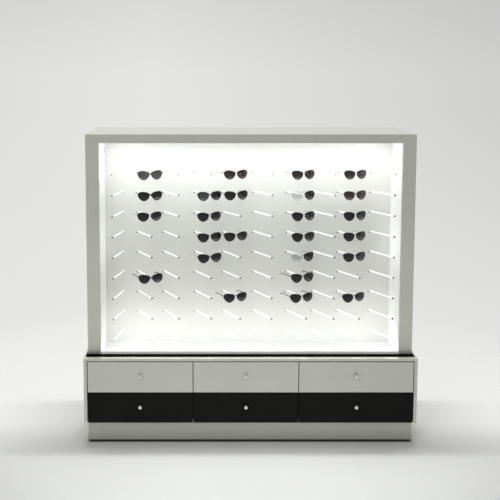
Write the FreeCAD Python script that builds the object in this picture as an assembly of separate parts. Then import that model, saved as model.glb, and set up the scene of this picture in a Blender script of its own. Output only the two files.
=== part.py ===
# Eyewear display cabinet: a drawer base on a recessed plinth, carrying an open-fronted lit case
# whose white panel holds rows of slanting rods with sunglasses on them.
# Millimetres. X to the right, Y from the front to the back, Z up, origin under the middle on the floor.
import FreeCAD, Part
import math
import os
from FreeCAD import Vector

# Overall sizes
base_width = 1610.0
base_depth = 590.0
total_height = 1500.0
counter_height = 424.0
knob_reach = 26.0  # how far the knobs stand out of the drawer fronts

front_y = -(base_depth + knob_reach) / 2 + knob_reach  # front edges of the base
back_y = front_y + base_depth
half_base = base_width / 2

# Plinth and feet
plinth_top = 104.0
plinth_gap = 6.0  # daylight under the plinth, made by the feet
plinth_front_recess = 35.0
plinth_side_recess = 16.0
plinth_back_recess = 20.0
plinth_board = 18.0
foot_block = 48.0
foot_block_bottom = 16.0
foot_pad_radius = 18.0
foot_pad_height = 6.0
foot_pad_sides = 24
foot_hexagon = 10.0

# Base carcass
side_board = 16.0
bottom_board = 16.0
divider_board = 18.0
counter_board = 12.0
back_board = 9.0
column_splits = (-277.0, 233.0)  # middles of the joints between the drawer columns; the right one is wider
half_inside = half_base - side_board
counter_underside = counter_height - counter_board

# Black inlay let into the counter
inlay_thickness = 4.0
inlay_side_border = 7.0
inlay_front_border = 28.0
inlay_back_border = 10.0

# Drawers
front_thickness = 18.0
front_set_in = 1.0
front_gap = 3.0
row_gap = 2.0
row_split = 255.5  # height of the joint between the two rows of drawers
upper_front_top = 408.0
lower_front_bottom = 105.0
front_ease = 1.0  # small chamfer round each front
box_board = 12.0
box_bottom_board = 6.0
box_groove = 6.0
box_bottom_lift = 10.0
box_height = 100.0
box_depth = 500.0
lower_box_bottom = 128.0
upper_box_bottom = 272.0
runner_length = 490.0
runner_space = 13.0  # room for a runner beside each box
runner_height = 45.0
runner_steel = 1.2
knob_radius = 12.0
knob_stem = 4.5
knob_sides = (36, 12)  # of the head and of the stem, many enough to pass for round
knob_head = 8.0
knob_lift = 8.0  # knobs sit a little above the middle of the fronts

# Display case
case_margin = 13.0  # how much narrower the case is than the base, each side
case_set_back = 75.0
stile_width = 63.0
stile_thickness = 22.0
header_height = 41.0
rail_height = 12.0  # what shows of the bottom rail above the counter
rail_thickness = 12.0
case_board = 16.0
lining_board = 12.0
inner_depth = 265.0  # from the front of the case to the lit panel
panel_thickness = 8.0
tray_floor = 404.0  # sunk below the counter, so that the lower light is hidden behind the rail
tray_board = 10.0

half_case = half_base - case_margin
half_opening = half_case - stile_width
case_front = front_y + case_set_back
stile_back = case_front + stile_thickness
panel_front = case_front + inner_depth
panel_back = panel_front + panel_thickness
ceiling = total_height - header_height
tray_bottom = tray_floor - tray_board
rail_back = case_front + rail_thickness
half_lined = half_opening + lining_board

# Light profiles, driver and cable outlet
light_width = 25.0
light_height = 12.0
light_wall = 1.5
driver_size = (170.0, 58.0, 36.0)
driver_corner = (-690.0, 190.0)
outlet_centre = (-600.0, 500.0)
outlet_size = (64.0, 26.0)  # hole through the back
outlet_sleeve = 2.0
outlet_flange = 8.0
hatch_edges = (-760.0, -440.0)  # screwed panel in the case back, in front of the driver
hatch_height = 136.0
hatch_gap = 1.0
hatch_batten = (30.0, 12.0)

# Rods: nine columns that lean to the right and one beside the left lining that leans left
rod_radius = 3.0
rod_length = 205.0
rod_yaw = 23.0
left_rod_yaw = -10.0
rod_rise = 2.0
rod_columns = (-563.0, -430.0, -270.0, -127.0, 29.0, 200.0, 336.0, 463.0, 628.0)
left_rod_column = -636.0
first_row = 1363.0
second_row = 1293.0
row_pitch = 103.0
row_count = 10
cap_radius = 5.0
cap_length = 7.0
rod_sides = 6

# Sunglasses: for each column (counted from the left) the rows (counted from the top) that hold a pair,
# with the distance from the panel along the rod to the back of the front frame
stock = {
    0: {2: 196.0, 3: 197.0, 4: 187.0, 7: 198.0},
    2: {3: 192.0, 4: 190.0, 5: 192.0, 6: 196.0},
    3: {2: 158.0, 3: 163.0, 5: 160.0, 8: 158.0},
    5: {2: 171.0, 3: 173.0, 4: 176.0, 5: 177.0, 6: 170.0, 7: 172.0, 8: 166.0},
    7: {2: 158.0, 3: 158.0, 4: 160.0, 5: 160.0, 6: 161.0, 8: 159.0},
}
lens_width = 53.0
lens_height = 40.0
lens_taper = 0.29  # how much wider the lens is above than below
lens_squareness = 2.2
lens_corners = 7
lens_thickness = 2.0
nose_gap = 14.0
lens_drop = 6.0  # lens middle below the rod's axis
rim = 2.6
frame_thickness = 4.0
wrap = 7.0  # how far each half turns back from the bridge, in degrees
bridge_height = 6.0
bridge_thickness = 2.6
brow_lift = 4.0  # upswept outer corner
temple_length = 118.0
temple_bend = 92.0
temple_height = 5.5
temple_thickness = 3.0
temple_drop = 14.0


def board(x, y, z):
    """A plain board between three pairs of limits."""
    return Part.makeBox(x[1] - x[0], y[1] - y[0], z[1] - z[0], Vector(x[0], y[0], z[0]))


def prism(points, direction):
    """A closed outline pushed along a direction."""
    return Part.Face(Part.makePolygon(points + points[:1])).extrude(direction)


def along_x(outline, x):
    """A (y, z) outline pushed between two x limits."""
    return prism([Vector(x[0], a, b) for a, b in outline], Vector(x[1] - x[0], 0, 0))


def along_y(outline, y):
    """An (x, z) outline pushed between two y limits."""
    return prism([Vector(a, y[0], b) for a, b in outline], Vector(0, y[1] - y[0], 0))


def mirrored(shape):
    """The same piece on the other side of the cabinet."""
    return shape.mirror(Vector(0, 0, 0), Vector(1, 0, 0))


def moved(shape, x=0.0, y=0.0, z=0.0):
    copy = shape.copy()
    copy.translate(Vector(x, y, z))
    return copy


def polygon_points(sides, radius, turn=0.0):
    """Corners of a regular polygon, as (x, y)."""
    step = 2 * math.pi / sides
    return [(radius * math.cos(i * step + turn), radius * math.sin(i * step + turn)) for i in range(sides)]


def save(name, shapes):
    os.makedirs("parts", exist_ok=True)
    shape = shapes if isinstance(shapes, Part.Shape) else Part.makeCompound(shapes)
    shape.exportStep("parts/" + name + ".step")


def plinth():
    """A frame of boards with a middle bearer and a block for each foot, glued into one piece."""
    x = half_base - plinth_side_recess
    y0 = front_y + plinth_front_recess
    y1 = back_y - plinth_back_recess
    height = (plinth_gap, plinth_top)
    frame = board((-x, x), (y0, y1), height)
    inner = board((-x + plinth_board, x - plinth_board), (y0 + plinth_board, y1 - plinth_board), height)
    frame = frame.cut(inner)
    bearer = board((-plinth_board / 2, plinth_board / 2), (y0 + plinth_board, y1 - plinth_board),
                   (foot_block_bottom, plinth_top))
    pieces = [bearer]
    for px, py in foot_places():
        pieces.append(board((px - foot_block / 2, px + foot_block / 2), (py - foot_block / 2, py + foot_block / 2),
                            (foot_block_bottom, plinth_top)))
    return frame.multiFuse(pieces).removeSplitter()


def foot_places():
    """Middles of the six feet: a front and a back row, in the corners and under the bearer."""
    x = half_base - plinth_side_recess - plinth_board - foot_block / 2
    y0 = front_y + plinth_front_recess + plinth_board + foot_block / 2
    y1 = back_y - plinth_back_recess - plinth_board - foot_block / 2
    return [(px, py) for py in (y0, y1) for px in (-x, 0.0, x)]


def levelling_feet():
    """Screw feet: a round pad with a hexagon above it, which meets the block in the plinth."""
    pad = prism([Vector(a, b, 0) for a, b in polygon_points(foot_pad_sides, foot_pad_radius)],
                Vector(0, 0, foot_pad_height))
    hexagon = prism([Vector(a, b, foot_pad_height) for a, b in polygon_points(6, foot_hexagon)],
                    Vector(0, 0, foot_block_bottom - foot_pad_height))
    foot = pad.fuse(hexagon)
    return [moved(foot, px, py) for px, py in foot_places()]


def base_bottom():
    y0 = front_y + front_set_in + front_thickness + 1
    return board((-half_inside, half_inside), (y0, back_y - back_board), (plinth_top, plinth_top + bottom_board))


def base_side(sign):
    panel = board((-half_base, -half_inside), (front_y, back_y), (plinth_top, counter_underside))
    return panel if sign < 0 else mirrored(panel)


def base_back():
    return board((-half_inside, half_inside), (back_y - back_board, back_y), (plinth_top, counter_underside))


def base_dividers():
    """Two uprights between the drawer columns, notched at the top for the sunken tray of the case."""
    y0 = front_y + front_set_in + front_thickness + 1
    y1 = back_y - back_board
    z0 = plinth_top + bottom_board
    notch_front = case_front - 1
    notch_back = panel_back + 1
    notch = tray_bottom - 1
    outline = [(y0, z0), (y1, z0), (y1, counter_underside), (notch_back, counter_underside), (notch_back, notch),
               (notch_front, notch), (notch_front, counter_underside), (y0, counter_underside)]
    return [along_x(outline, (split - divider_board / 2, split + divider_board / 2)) for split in column_splits]


def tray_well(z):
    """The cut-out in the counter that the tray of the case drops into."""
    return board((-half_lined - 1, half_lined + 1), (case_front, panel_back + 1), z)


def inlay_outline(z):
    half = half_base - inlay_side_border
    return board((-half, half), (front_y + inlay_front_border, back_y - inlay_back_border), z)


def base_top():
    top = board((-half_base, half_base), (front_y, back_y), (counter_underside, counter_height))
    recess = inlay_outline((counter_height - inlay_thickness, counter_height))
    return top.cut(recess).cut(tray_well((counter_underside, counter_height)))


def counter_inlay():
    z = (counter_height - inlay_thickness, counter_height)
    return inlay_outline(z).cut(tray_well(z))


def column_fronts():
    """Left and right edges of the drawer fronts in each column."""
    edges = [-half_inside + front_gap]
    for split in column_splits:
        edges += [split - front_gap / 2, split + front_gap / 2]
    edges.append(half_inside - front_gap)
    return [(edges[i], edges[i + 1]) for i in (0, 2, 4)]


def column_openings():
    """Left and right walls of the carcass in each drawer column."""
    walls = [-half_inside]
    for split in column_splits:
        walls += [split - divider_board / 2, split + divider_board / 2]
    walls.append(half_inside)
    return [(walls[i], walls[i + 1]) for i in (0, 2, 4)]


def drawer_rows():
    """Height limits of the fronts and the bottoms of the boxes, upper row first."""
    upper = (row_split + row_gap / 2, upper_front_top)
    lower = (lower_front_bottom, row_split - row_gap / 2)
    return [(upper, upper_box_bottom), (lower, lower_box_bottom)]


def drawer_front(x, z):
    """A front panel with a fine chamfer round its face."""
    y0 = front_y + front_set_in
    panel = board(x, (y0, y0 + front_thickness), z)
    edges = [e for e in panel.Edges if all(abs(v.Point.y - y0) < 0.01 for v in e.Vertexes)]
    return panel.makeChamfer(front_ease, edges)


def drawer_box(opening, z0):
    """Five boards: the sides, an inner front and a back between them, and a bottom held in grooves."""
    x0 = opening[0] + runner_space
    x1 = opening[1] - runner_space
    y0 = front_y + front_set_in + front_thickness
    y1 = y0 + box_depth
    z1 = z0 + box_height
    z_bottom = z0 + box_bottom_lift
    bottom = board((x0 + box_board - box_groove, x1 - box_board + box_groove),
                   (y0 + box_board - box_groove, y1 - box_board + box_groove),
                   (z_bottom, z_bottom + box_bottom_board))
    sides = [board((x0, x0 + box_board), (y0, y1), (z0, z1)), board((x1 - box_board, x1), (y0, y1), (z0, z1))]
    ends = [board((x0 + box_board, x1 - box_board), (y, y + box_board), (z0, z1)) for y in (y0, y1 - box_board)]
    return [piece.cut(bottom) for piece in sides + ends] + [bottom]


def runner_profile(member):
    """Section of one runner member, from the carcass wall (0) towards the drawer box (runner_space).

    The outer channel is open towards the box, the middle one runs inside it,
    and the inner one faces the other way and is screwed to the box. The bent-in lips are the ball races.
    """
    half = runner_height / 2
    t = runner_steel
    race = 2.5  # space for the balls between two members
    lip = 2.5
    if member == "outer":
        near, far, h = 0.0, 9.5, half
    elif member == "middle":
        near, far, h = 3.6, 11.0, half - t - race + 1.0
    else:
        near, far, h = runner_space, 5.8, half - 2 * (t + race) + 2.0
    sign = 1.0 if far > near else -1.0
    half_section = [(near, h), (far - sign * lip, h), (far, h - 1.0), (far, h - 1.0 - t), (far - sign * lip, h - t),
                    (near + sign * t, h - t)]
    return half_section + [(a, -b) for a, b in reversed(half_section)]


def runner_pair(member, opening, z0):
    """The left and right member of one kind beside a drawer box."""
    y0 = front_y + front_set_in + front_thickness + 2
    z = z0 + box_height / 2
    left = [(opening[0] + a, z + b) for a, b in runner_profile(member)]
    right = [(opening[1] - a, z + b) for a, b in runner_profile(member)]
    return [along_y(outline, (y0, y0 + runner_length)) for outline in (left, right)]


def knob(x, z):
    """A turned knob: a slim stem with a round head on it."""
    face = front_y + front_set_in
    tip = front_y - knob_reach
    head = [(x + a, z + b) for a, b in polygon_points(knob_sides[0], knob_radius)]
    stem = [(x + a, z + b) for a, b in polygon_points(knob_sides[1], knob_stem)]
    return along_y(head, (tip, tip + knob_head)).fuse(along_y(stem, (tip + knob_head, face)))


def case_header():
    return board((-half_opening, half_opening), (case_front, stile_back), (ceiling, total_height))


def case_stile(sign):
    stile = board((-half_case, -half_opening), (case_front, stile_back), (counter_height, total_height))
    return stile if sign < 0 else mirrored(stile)


def case_rail():
    """The rail at the foot of the opening: shouldered, so that its ends go under the stiles."""
    a = half_opening
    b = half_lined
    top = counter_height + rail_height
    outline = [(-b, tray_bottom), (b, tray_bottom), (b, counter_height), (a, counter_height), (a, top),
               (-a, top), (-a, counter_height), (-b, counter_height)]
    return along_y(outline, (case_front, rail_back))


def case_sides():
    left = board((-half_case, -half_case + case_board), (stile_back, back_y),
                 (counter_height, total_height - case_board))
    return [left, mirrored(left)]


def case_top():
    return board((-half_case, half_case), (stile_back, back_y), (total_height - case_board, total_height))


def outlet_block(grow, y):
    """The outline of the cable outlet, grown all round, between two depths."""
    x, z = outlet_centre
    w = outlet_size[0] / 2 + grow
    h = outlet_size[1] / 2 + grow
    return board((x - w, x + w), y, (z - h, z + h))


def hatch_outline(grow, y):
    """The opening for the hatch, grown at its sides and top, between two depths."""
    top = counter_height + hatch_height + grow
    return board((hatch_edges[0] - grow, hatch_edges[1] + grow), y, (counter_height, top))


def case_back():
    """Thin back with an opening for the hatch, and a frame of battens inside for the hatch to lie against."""
    inside = back_y - back_board
    panel = board((-half_case + case_board, half_case - case_board), (inside, back_y),
                  (counter_height, total_height - case_board))
    depth = (inside - hatch_batten[1], inside)
    battens = hatch_outline(hatch_batten[0] / 2, depth).cut(hatch_outline(-hatch_batten[0] / 2, depth))
    return panel.cut(hatch_outline(0, (inside, back_y))).fuse(battens).removeSplitter()


def service_hatch():
    """Panel that comes off to reach the driver, with the slot for the mains lead of the lights."""
    depth = (back_y - back_board, back_y)
    return hatch_outline(-hatch_gap, depth).cut(outlet_block(outlet_sleeve, depth))


def cable_outlet():
    """Sleeve that lines the slot, with a flange against the inside of the hatch."""
    inside = back_y - back_board
    sleeve = outlet_block(outlet_sleeve, (inside - 2, back_y))
    flange = outlet_block(outlet_flange, (inside - 2, inside))
    return sleeve.fuse(flange).cut(outlet_block(0, (inside - 3, back_y + 1))).removeSplitter()


def case_floor():
    return board((-half_lined, half_lined), (rail_back, panel_back), (tray_bottom, tray_floor))


def side_linings():
    """White linings from the stiles back to the lit panel, reaching down into the tray."""
    outline = [(rail_back, tray_floor), (panel_back, tray_floor), (panel_back, ceiling), (stile_back, ceiling),
               (stile_back, counter_height), (rail_back, counter_height)]
    left = along_x(outline, (-half_lined, -half_opening))
    return [left, mirrored(left)]


def ceiling_lining():
    return board((-half_lined, half_lined), (stile_back + light_width, panel_back), (ceiling, ceiling + lining_board))


def light_panel():
    return board((-half_opening, half_opening), (panel_front, panel_back), (tray_floor, ceiling))


def light_channel():
    """Aluminium profile with its floor at z 0, its back edge at y 0 and its mouth up."""
    w = light_width
    h = light_height
    t = light_wall
    outline = [(0, 0), (w, 0), (w, h), (w - t, h), (w - t, t), (t, t), (t, h), (0, h)]
    return along_x(outline, (-half_opening + 1, half_opening - 1))


def light_diffuser():
    """Opal strip a little below the mouth of the profile."""
    top = light_height - 1.0
    return board((-half_opening + 1, half_opening - 1), (light_wall, light_width - light_wall), (top - 1.5, top))


def placed_lights(make):
    """The lower light lies behind the rail; the upper one hangs behind the header, mouth down."""
    lower = moved(make(), 0, rail_back, tray_floor)
    upper = make()
    upper.rotate(Vector(0, 0, 0), Vector(1, 0, 0), 180)
    upper.translate(Vector(0, stile_back + light_width, ceiling + lining_board))
    return [lower, upper]


def led_driver():
    """Power supply of the lights, standing on the counter behind the lit panel: a ribbed case with two ears."""
    length, width, height = driver_size
    x, y = driver_corner
    ribs = 6
    pitch = width / (ribs + 0.5)
    outline = [(0.0, 0.0), (width, 0.0)]
    for i in range(ribs, -1, -1):
        right = i * pitch + pitch / 2
        outline += [(right, height), (right - pitch / 2, height)]
        if i:
            outline += [(right - pitch / 2, height - 4), (right - pitch, height - 4)]
    body = along_x([(y + a, counter_height + b) for a, b in outline], (x, x + length))
    ears = board((x - 12, x + length + 12), (y + 12, y + width - 12), (counter_height, counter_height + 3))
    return body.fuse(ears).removeSplitter()


def rod_places():
    """Foot and yaw of every rod: the rows from the top down, the columns from the left."""
    rows = [first_row] + [second_row - row_pitch * i for i in range(row_count - 1)]
    places = [(x, z, rod_yaw) for z in rows for x in rod_columns]
    return places + [(left_rod_column, z, left_rod_yaw) for z in rows[1:]]


def row_height(row):
    """Height of a row of rods at the panel, counted from 1 at the top."""
    return first_row if row == 1 else second_row - row_pitch * (row - 2)


def rod_frame(yaw):
    """Placement with its z along the rod, its x across to the right and its y up."""
    a = math.radians(yaw)
    b = math.radians(rod_rise)
    along = Vector(math.sin(a) * math.cos(b), -math.cos(a) * math.cos(b), math.sin(b))
    across = Vector(math.cos(a), math.sin(a), 0)
    up = along.cross(across)
    matrix = FreeCAD.Matrix(across.x, up.x, along.x, 0, across.y, up.y, along.y, 0, across.z, up.z, along.z, 0,
                            0, 0, 0, 1)
    return FreeCAD.Placement(matrix)


def bar(sides, radius, start, end, yaw):
    """A many-sided bar along a rod's axis with a flat on top."""
    corner = radius / math.cos(math.pi / sides)
    points = [Vector(a, b, start) for a, b in polygon_points(sides, corner, 0 if sides % 4 == 2 else math.pi / sides)]
    solid = prism(points, Vector(0, 0, end - start))
    solid.Placement = rod_frame(yaw)
    return solid


def rods():
    """Clear rods cut off square with the panel at their feet."""
    panel = board((-100, 100), (0, 100), (-100, 100))
    made = {yaw: bar(rod_sides, rod_radius, -10, rod_length, yaw).cut(panel) for yaw in (rod_yaw, left_rod_yaw)}
    return [moved(made[yaw], x, panel_front, z) for x, z, yaw in rod_places()]


def rod_caps():
    """A cap on the tip of each rod, which stops the sunglasses."""
    made = {yaw: bar(rod_sides, cap_radius, rod_length, rod_length + cap_length, yaw)
            for yaw in (rod_yaw, left_rod_yaw)}
    return [moved(made[yaw], x, panel_front, z) for x, z, yaw in rod_places()]


def lens_outline(grow, z):
    """Upswept lens shape for the right-hand side of a front frame, its nose side at half the nose gap."""
    half_w = lens_width / 2
    half_h = lens_height / 2
    points = []
    for i in range(lens_corners):
        turn = 2 * math.pi * (i + 0.5) / lens_corners
        a = math.cos(turn)
        b = math.sin(turn)
        square = (abs(a) ** lens_squareness + abs(b) ** lens_squareness) ** (-1 / lens_squareness)
        x = a * square * (half_w + grow) * (1 + lens_taper * b)
        y = b * square * (half_h + grow) + brow_lift * a * max(b, 0)
        points.append(Vector(nose_gap / 2 + half_w + x, y - lens_drop, z))
    return points


def wrapped(shape):
    """A piece of the right-hand half, turned back at the nose."""
    copy = shape.copy()
    copy.rotate(Vector(nose_gap / 2, 0, 0), Vector(0, 1, 0), wrap)
    return copy


def glasses_front():
    """Front frame in the rod's own directions: two rims joined by a bridge that rests on the rod."""
    rim_solid = wrapped(prism(lens_outline(rim, 0), Vector(0, 0, frame_thickness)))
    hole = wrapped(prism(lens_outline(0, -3), Vector(0, 0, frame_thickness + 6)))
    reach = nose_gap / 2 + 4
    bridge = Part.makeBox(2 * reach, bridge_height, bridge_thickness,
                          Vector(-reach, rod_radius, 0.6))
    solid = bridge.multiFuse([rim_solid, mirrored(rim_solid)])
    return solid.cut(hole).cut(mirrored(hole)).removeSplitter()


def glasses_lenses():
    lens = wrapped(prism(lens_outline(0, (frame_thickness - lens_thickness) / 2), Vector(0, 0, lens_thickness)))
    return [lens, mirrored(lens)]


def glasses_temples():
    """Side arms from the upper outer corners of the front: straight back, then bent down behind the ear."""
    corner = max(lens_outline(rim, 0), key=lambda v: v.x)
    span = corner.x - nose_gap / 2
    turn = math.radians(wrap)
    outer = nose_gap / 2 + span * math.cos(turn)
    z0 = -span * math.sin(turn)
    top = corner.y + 1.5
    h = temple_height
    side = [(z0 + 1, top), (z0 + 1, top - h), (z0 - temple_bend, top - h), (z0 - temple_length, top - h - temple_drop),
            (z0 - temple_length - 2, top - temple_drop), (z0 - temple_bend - 2, top)]
    points = [Vector(outer - temple_thickness, b, a) for a, b in side]
    room = wrapped(board((0, 100), (-50, 50), (0, 30)))
    arm = prism(points, Vector(temple_thickness, 0, 0)).cut(room)
    return [arm, mirrored(arm)]


def stocked(pieces):
    """Copies of one pair's pieces on every rod that holds sunglasses."""
    copies = []
    for column, rows in stock.items():
        for row, distance in rows.items():
            place = rod_frame(rod_yaw)
            place.Base = Vector(rod_columns[column], panel_front, row_height(row))
            place = place.multiply(FreeCAD.Placement(Vector(0, 0, distance), FreeCAD.Rotation()))
            for piece in pieces:
                copy = piece.copy()
                copy.Placement = place.multiply(piece.Placement)
                copies.append(copy)
    return copies


def build():
    save("plinth", plinth())
    save("levelling_feet", levelling_feet())
    save("base_bottom", base_bottom())
    save("base_side_left", base_side(-1))
    save("base_side_right", base_side(1))
    save("base_dividers", base_dividers())
    save("base_top", base_top())
    save("base_back", base_back())
    save("counter_inlay", counter_inlay())
    number = 0
    outer_members = []
    for heights, z0 in drawer_rows():
        for x, opening in zip(column_fronts(), column_openings()):
            number += 1
            save("drawer_front_%d" % number, drawer_front(x, heights))
            save("drawer_box_%d" % number, drawer_box(opening, z0))
            save("knob_%d" % number, knob(sum(x) / 2, sum(heights) / 2 + knob_lift))
            save("runner_inner_%d" % number, runner_pair("inner", opening, z0))
            save("runner_middle_%d" % number, runner_pair("middle", opening, z0))
            outer_members += runner_pair("outer", opening, z0)
    save("runner_outer", outer_members)
    save("case_header", case_header())
    save("case_stile_left", case_stile(-1))
    save("case_stile_right", case_stile(1))
    save("case_rail", case_rail())
    save("case_sides", case_sides())
    save("case_top", case_top())
    save("case_floor", case_floor())
    save("case_back", case_back())
    save("service_hatch", service_hatch())
    save("side_linings", side_linings())
    save("ceiling_lining", ceiling_lining())
    save("light_panel", light_panel())
    save("led_channels", placed_lights(light_channel))
    save("led_diffusers", placed_lights(light_diffuser))
    save("led_driver", led_driver())
    save("cable_outlet", cable_outlet())
    save("rods", rods())
    save("rod_caps", rod_caps())
    save("sunglasses_frames", stocked([glasses_front()] + glasses_temples()))
    save("sunglasses_lenses", stocked(glasses_lenses()))


build()
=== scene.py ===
import math
import bpy
import bmesh
from mathutils import Matrix, Vector


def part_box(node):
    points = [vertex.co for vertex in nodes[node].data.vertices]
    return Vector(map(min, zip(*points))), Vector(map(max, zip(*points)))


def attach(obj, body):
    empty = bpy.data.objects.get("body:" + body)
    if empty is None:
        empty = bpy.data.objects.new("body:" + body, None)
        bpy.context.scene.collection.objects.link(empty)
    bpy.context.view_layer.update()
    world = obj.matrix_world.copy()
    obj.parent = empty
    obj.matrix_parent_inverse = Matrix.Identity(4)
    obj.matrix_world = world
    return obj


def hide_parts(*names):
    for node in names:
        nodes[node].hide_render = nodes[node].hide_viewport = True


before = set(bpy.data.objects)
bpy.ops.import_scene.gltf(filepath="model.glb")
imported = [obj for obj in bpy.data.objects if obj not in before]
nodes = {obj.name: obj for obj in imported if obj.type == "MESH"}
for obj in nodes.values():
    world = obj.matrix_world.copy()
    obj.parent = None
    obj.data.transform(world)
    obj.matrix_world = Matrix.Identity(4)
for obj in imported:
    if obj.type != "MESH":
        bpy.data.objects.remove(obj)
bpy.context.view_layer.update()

# Looks of an eyewear display cabinet: a drawer base with a lit white case on it, rods and sunglasses.
# Metres. X to the right, Y from the front to the back, Z up.
print("frame loaded:", len(nodes), "nodes")


# Small tools

# sRGB hex to the linear colour that a shader wants
def paint(hexText):
    channels = [int(hexText[i:i + 2], 16) / 255 for i in (1, 3, 5)]
    return tuple(c / 12.92 if c <= 0.04045 else ((c + 0.055) / 1.055) ** 2.4 for c in channels) + (1.0,)


# adds a node with its settings and gives each socket a value, a hex colour or a link, where a node stands
# for its first output; stops are a ramp's places and colours, and into is an output and what it feeds;
# a Mix node's sockets go by number: 0 is the factor, 2 and 3 are numbers, 6 and 7 are colours
def addNode(tree, kind, sockets=None, stops=(), into=None, **settings):
    node = tree.nodes.new(kind)
    for name, value in settings.items():
        setattr(node, name, value)
    for name, value in (sockets or {}).items():
        socket = node.inputs[name]
        if isinstance(value, bpy.types.Node):
            value = value.outputs[0]
        if isinstance(value, bpy.types.NodeSocket):
            tree.links.new(value, socket)
        elif isinstance(value, str):
            socket.default_value = paint(value)[:len(socket.default_value)]
        else:
            socket.default_value = value
    if stops:
        ramp = node.color_ramp.elements
        while len(ramp) < len(stops):
            ramp.new(0.5)
        for element, (place, colour) in zip(ramp, stops):
            element.position = place
            element.color = paint(colour)
    if into:
        output, socket = into
        tree.links.new(node.outputs[output], socket)
    return node


# lower and upper limit of what a Map Range node reads (From) or gives (To)
def span(which, low, high):
    return {which + " Min": low, which + " Max": high}


# an empty finish: its material, its node tree and its shader with the constants set on it
def newFinish(name, **constants):
    finish = bpy.data.materials.new(name)
    finish.use_nodes = True
    shader = finish.node_tree.nodes["Principled BSDF"]
    for socket, value in constants.items():
        shader.inputs[socket.replace("_", " ")].default_value = value
    return finish, finish.node_tree, shader


# a texture's sockets, for a pattern with a unit as large as the given sizes; one size stands for all three
def sized(tree, sizeX, sizeY=None, sizeZ=None, **more):
    place = addNode(tree, "ShaderNodeTexCoord").outputs["Object"]
    scale = [1 / size for size in (sizeX, sizeY or sizeX, sizeZ or sizeX)]
    stretched = addNode(tree, "ShaderNodeMapping", {"Vector": place, "Scale": scale})
    return {"Vector": stretched, "Scale": 1.0, **more}


# object coordinates in metres, as X, Y and Z
def placeAxes(tree):
    place = addNode(tree, "ShaderNodeTexCoord").outputs["Object"]
    return addNode(tree, "ShaderNodeSeparateXYZ", {"Vector": place}).outputs


# a shape is (points, faces); this lays several into one
def joined(shapes):
    points, faces = [], []
    for morePoints, moreFaces in shapes:
        start = len(points)
        points += morePoints
        faces += [[start + i for i in face] for face in moreFaces]
    return points, faces


def placed(shape, matrix):
    return [matrix @ Vector(p) for p in shape[0]], shape[1]


# rings of equal count, skinned one to the next; both ends are closed, or the last ring meets the first
def skinned(rings, looped=False):
    count = len(rings[0])
    points = [p for ring in rings for p in ring]
    faces = [] if looped else [list(range(count))[::-1], [len(points) - count + i for i in range(count)]]
    for r in range(len(rings) if looped else len(rings) - 1):
        following = (r + 1) % len(rings)
        for i in range(count):
            j = (i + 1) % count
            faces.append([r * count + i, r * count + j, following * count + j, following * count + i])
    return points, faces


# a (radius, height) outline turned about z
def turned(outline, steps=48):
    circle = [(math.cos(2 * math.pi * i / steps), math.sin(2 * math.pi * i / steps)) for i in range(steps)]
    return skinned([[Vector((wide * c, wide * s, high)) for c, s in circle] for wide, high in outline])


# how far a squared-off circle reaches in a direction; 2 is a plain circle
def squaredReach(a, b, power):
    return (abs(a) ** power + abs(b) ** power) ** (-1 / power)


# a mesh made of a shape, smooth except where it turns sharply
def meshOf(name, shape, finish, crease=38):
    mesh = bpy.data.meshes.new(name)
    mesh.from_pydata(shape[0], [], shape[1])
    work = bmesh.new()
    work.from_mesh(mesh)
    bmesh.ops.recalc_face_normals(work, faces=work.faces)
    work.to_mesh(mesh)
    work.free()
    mesh.shade_smooth()
    mesh.set_sharp_from_angle(angle=math.radians(crease))
    mesh.materials.append(finish)
    return mesh


# puts a mesh into the scene as a piece that rides on a body
def addPiece(name, mesh, body="cabinet", stands=(), matrix=None):
    piece = bpy.data.objects.new(name, mesh)
    bpy.context.scene.collection.objects.link(piece)
    if matrix:
        piece.matrix_world = matrix
    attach(piece, body)
    if stands:
        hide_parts(*stands)
    return piece


# Camera, floor and light

cameraPlace = {"lens": 64.8, "sensor": 36, "across": 0.09, "down": -0.18, "tilt": 84.021,
               "at": (-0.2195, -4.488, 1.8266)}

camera = bpy.data.objects.new("camera", bpy.data.cameras.new("camera"))
bpy.context.scene.collection.objects.link(camera)
camera.data.sensor_width = cameraPlace["sensor"]
camera.data.lens = cameraPlace["lens"]
camera.data.shift_x = cameraPlace["across"]
camera.data.shift_y = cameraPlace["down"]
camera.location = cameraPlace["at"]
camera.rotation_euler = (math.radians(cameraPlace["tilt"]), 0, 0)
bpy.context.scene.camera = camera
bpy.context.scene.view_settings.view_transform = "Standard"

# the backdrop's spans are parts of a direction of view that is 1 long
studio = {
    "roomLight": 0.45, "roomHue": "#FBFCFA",  # plain light from all round
    "wallSpan": (-0.40, 0.16),                # from low to high
    "wall": ((0.0, "#EAEAE8"), (0.45, "#E6E6E4"), (0.70, "#E5E5E3"), (1.0, "#CDCDCB")),
    "sidesSpan": (-0.25, 0.33),               # from left to right, what is left of the wall's tone there
    "sides": ((0.0, "#F7F7F7"), (0.33, "#FFFFFF"), (1.0, "#E7E7E7")),
    "sidesSetIn": (-0.36, -0.05),             # and over which heights that sets in
    "overheadAt": (0.0, 0.47, 6.5), "aim": (0, -0.15, 0.8),
    "stripPower": 225, "stripSize": (2.6, 0.20),
    "softPower": 85, "softSize": (2.6, 1.3),
    "frontPower": 52, "frontSize": (2.0, 2.0), "frontAt": (-1.3, -3.6, 3.0), "frontAim": (0, 0, 0.8),
}

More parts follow.
